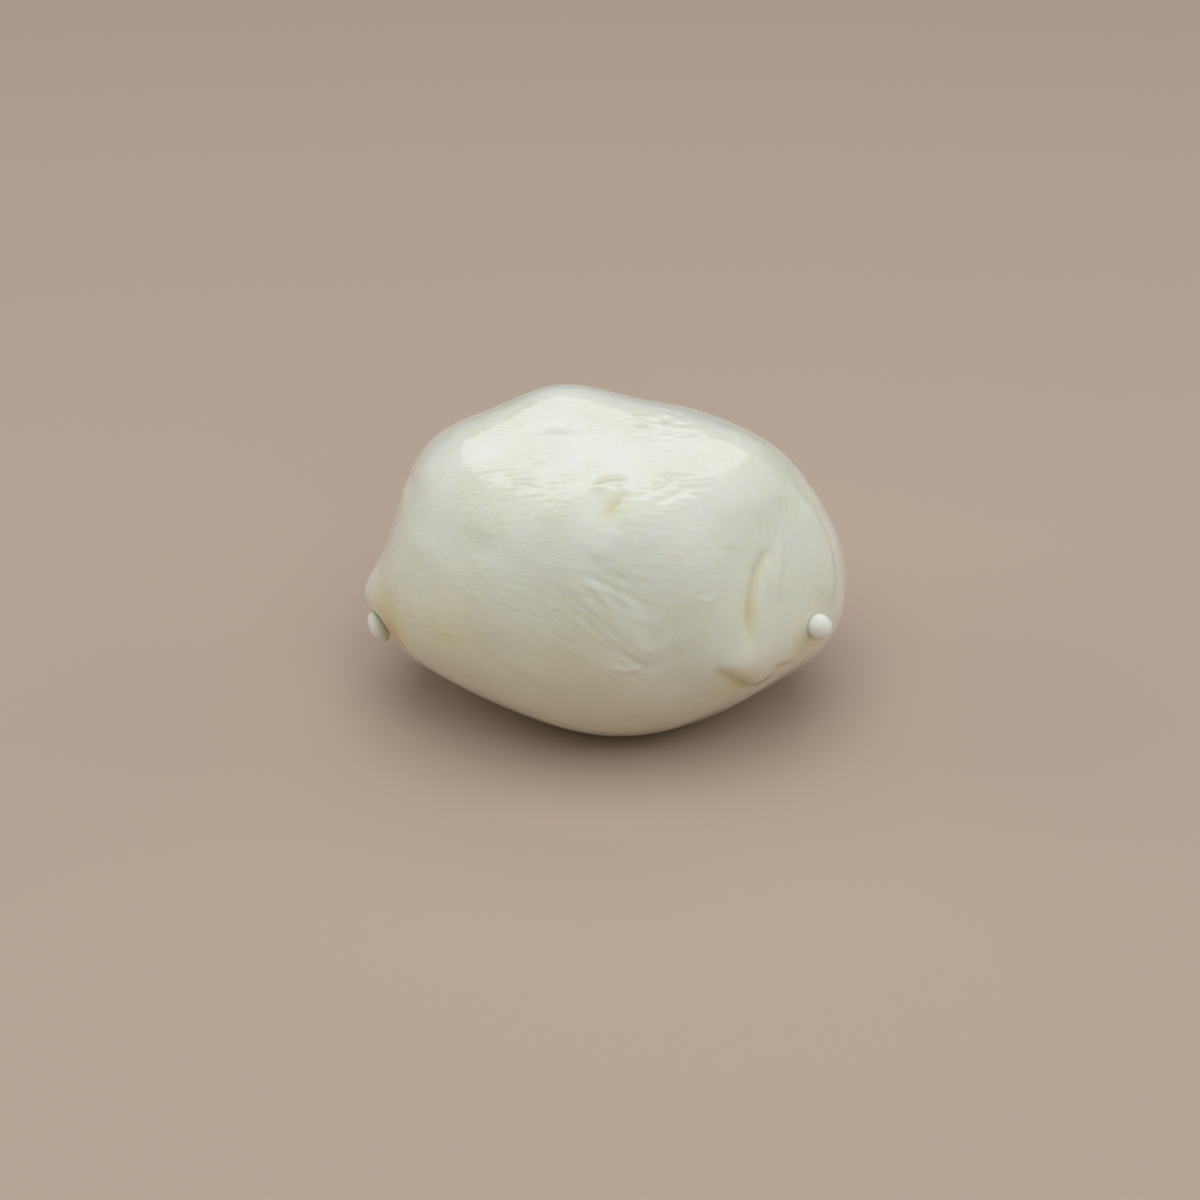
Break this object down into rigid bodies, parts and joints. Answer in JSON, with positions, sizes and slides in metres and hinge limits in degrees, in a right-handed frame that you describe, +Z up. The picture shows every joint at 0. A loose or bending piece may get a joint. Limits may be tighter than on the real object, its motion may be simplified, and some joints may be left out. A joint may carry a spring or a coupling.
{
  "type": "mozzarella ball",
  "caption": "Ball of fresh mozzarella with a smooth wet skin, folded and pinched at its ends, resting on its own soft foot.",
  "frame": {"origin": "centre of the base, under the middle of the ball's box", "axes": "+X along the ball's length towards the end with the bead, -Y to its front, +Z up"},
  "size_m": [0.0746, 0.0558, 0.0469],
  "materials": {
    "mozzarella": "milky white stretched curd with a wet, satin skin"
  },
  "bodies": {
    "root": {"mozzarella_ball": "mozzarella"}
  },
  "joints": []
}
